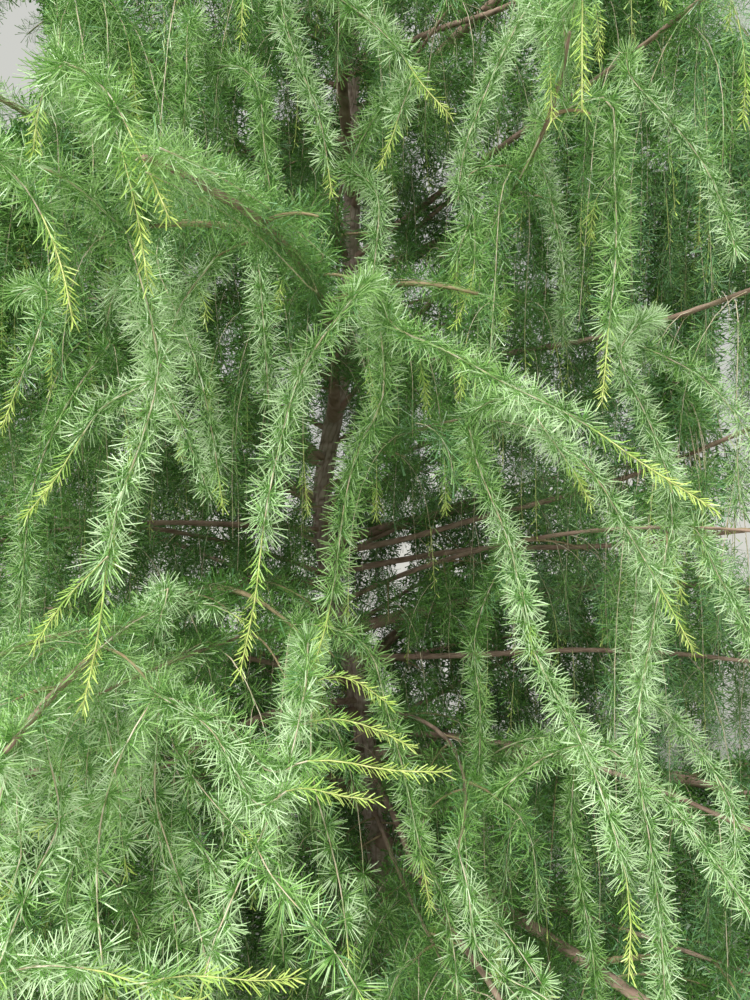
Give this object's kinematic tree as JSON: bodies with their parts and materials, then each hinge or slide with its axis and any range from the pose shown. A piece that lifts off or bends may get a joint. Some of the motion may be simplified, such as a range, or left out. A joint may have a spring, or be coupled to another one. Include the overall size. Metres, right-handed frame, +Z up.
{
  "type": "european larch",
  "caption": "Young larch tree: a slim trunk on a root flare, level boughs all round, and long hanging shoots of soft needles",
  "frame": {"origin": "middle of the flat cut under the trunk, at ground level", "axes": "+Z up the trunk, -Y towards the side that the picture shows, +X to its right"},
  "size_m": [2.796, 2.8187, 4.8],
  "materials": {
    "bark": "rough scaly bark, grey brown with a pink tinge, moss green in the hollows",
    "needles": "soft mid green needles on straw coloured twigs, yellow green at the shoot tips"
  },
  "bodies": {
    "root": {"trunk": "bark", "bough_01": "bark", "bough_02": "bark", "bough_03": "bark", "bough_04": "bark", "bough_05": "bark", "bough_06": "bark", "bough_07": "bark", "bough_08": "bark", "bough_09": "bark", "bough_10": "bark", "bough_11": "bark", "bough_12": "bark", "bough_13": "bark", "bough_14": "bark", "bough_15": "bark", "bough_16": "bark", "bough_17": "bark", "bough_18": "bark", "bough_19": "bark", "bough_20": "bark", "bough_21": "bark", "bough_22": "bark", "bough_23": "bark", "bough_24": "bark", "foliage_01": "needles", "foliage_02": "needles", "foliage_03": "needles", "foliage_04": "needles", "foliage_05": "needles", "foliage_06": "needles", "foliage_07": "needles", "foliage_08": "needles", "foliage_09": "needles", "foliage_10": "needles", "foliage_11": "needles", "foliage_12": "needles", "foliage_13": "needles", "foliage_14": "needles", "foliage_15": "needles", "foliage_16": "needles", "foliage_17": "needles", "foliage_18": "needles", "foliage_19": "needles", "foliage_20": "needles", "foliage_21": "needles", "foliage_22": "needles", "foliage_23": "needles", "foliage_24": "needles", "foliage_25": "needles", "foliage_26": "needles", "foliage_27": "needles", "foliage_28": "needles", "foliage_29": "needles", "foliage_30": "needles", "foliage_31": "needles", "foliage_32": "needles", "foliage_33": "needles", "foliage_34": "needles", "foliage_leader": "needles"}
  },
  "joints": []
}
